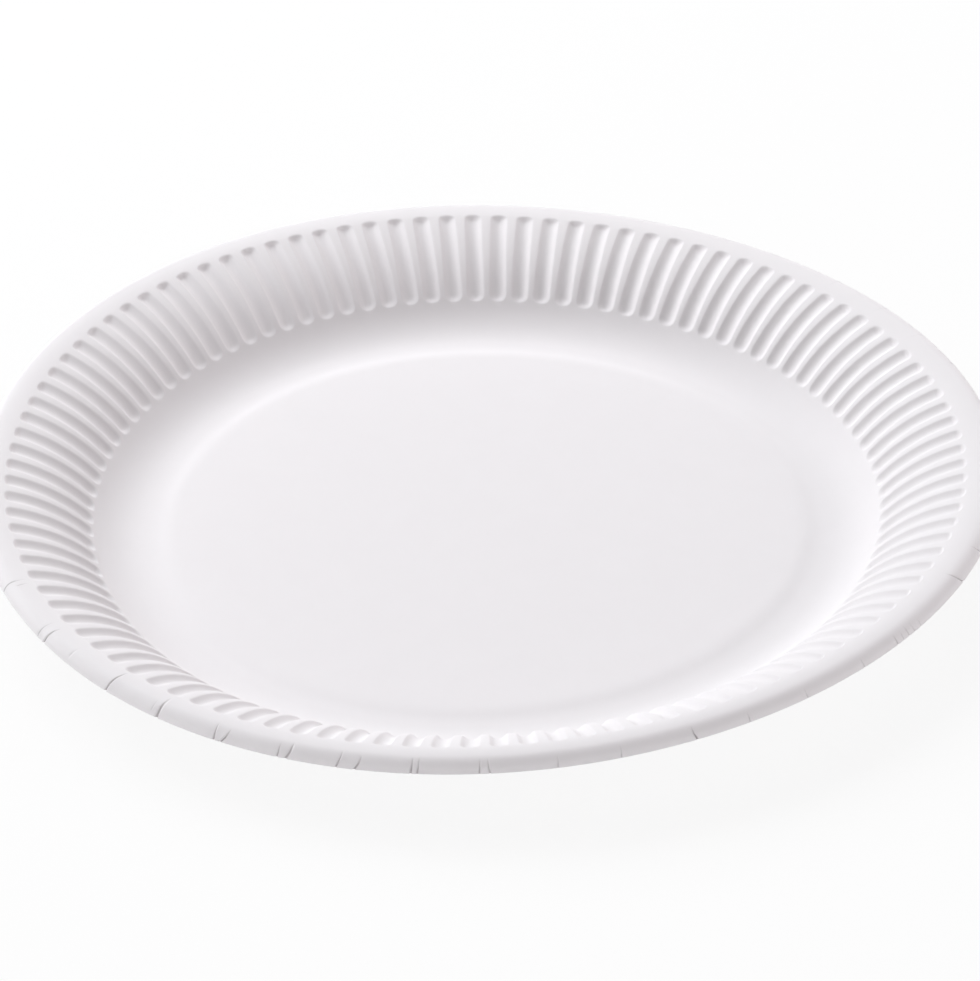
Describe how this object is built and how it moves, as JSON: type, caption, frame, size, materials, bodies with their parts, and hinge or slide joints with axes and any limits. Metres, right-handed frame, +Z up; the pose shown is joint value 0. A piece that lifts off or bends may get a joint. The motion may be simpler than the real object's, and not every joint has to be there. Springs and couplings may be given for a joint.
{
  "type": "paper plate",
  "caption": "Round disposable paper plate of plain white pressed board, with a fluted wall and a smooth turned-down lip.",
  "frame": {"origin": "middle of the underside, on the table", "axes": "+Z up out of the dish, along the plate's axis; +X through the middle of a flute"},
  "size_m": [0.23, 0.23, 0.0183],
  "materials": {
    "board": "matt, uncoated"
  },
  "bodies": {
    "root": {"plate": "board"}
  },
  "joints": []
}
